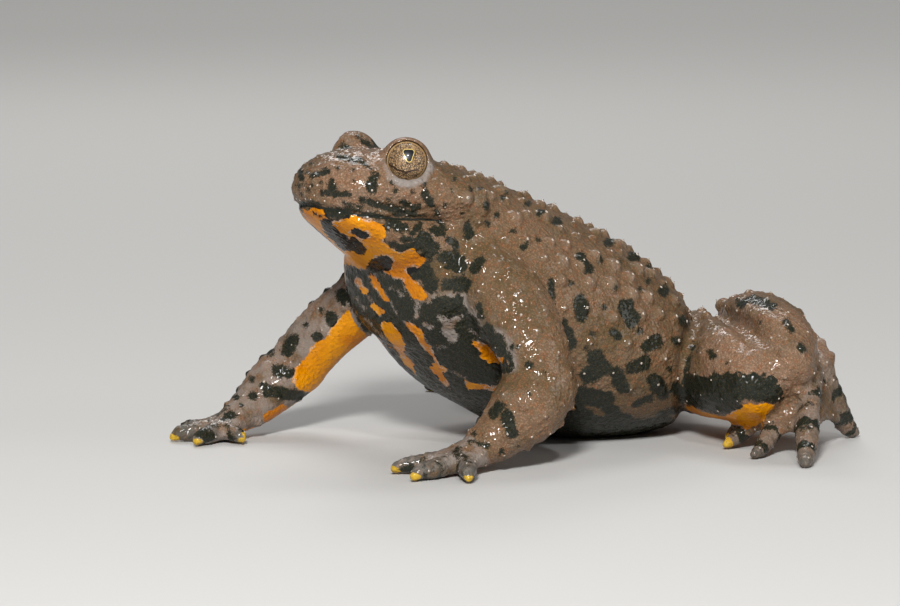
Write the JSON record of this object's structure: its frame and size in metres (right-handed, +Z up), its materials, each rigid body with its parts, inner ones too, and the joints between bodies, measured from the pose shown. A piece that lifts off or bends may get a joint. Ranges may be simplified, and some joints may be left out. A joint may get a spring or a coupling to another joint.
{
  "type": "fire bellied toad",
  "caption": "Life-size still model of a fire-bellied toad, propped up on its arms, with a warty brown back and an orange and black underside.",
  "frame": {"origin": "on the floor, in the middle of the ground that the toad covers", "axes": "+Z up; the toad faces -X; its left side, the one the picture shows, is -Y; the plane through its snout and vent is y = 0"},
  "size_m": [0.0501, 0.055, 0.0268],
  "materials": {
    "skin": "wet, glossy, warty skin: brown above, orange and black below",
    "eye": "clear, wet and glossy over a golden iris with a dark drop-shaped pupil"
  },
  "bodies": {
    "root": {"head": "skin", "jaw": "skin", "torso": "skin", "eye_left": "eye", "upper_arm_left": "skin", "forearm_left": "skin", "hand_left": "skin", "thigh_left": "skin", "shank_left": "skin", "tarsus_left": "skin", "foot_left": "skin", "eye_right": "eye", "upper_arm_right": "skin", "forearm_right": "skin", "hand_right": "skin", "thigh_right": "skin", "shank_right": "skin", "tarsus_right": "skin", "foot_right": "skin"}
  },
  "joints": []
}
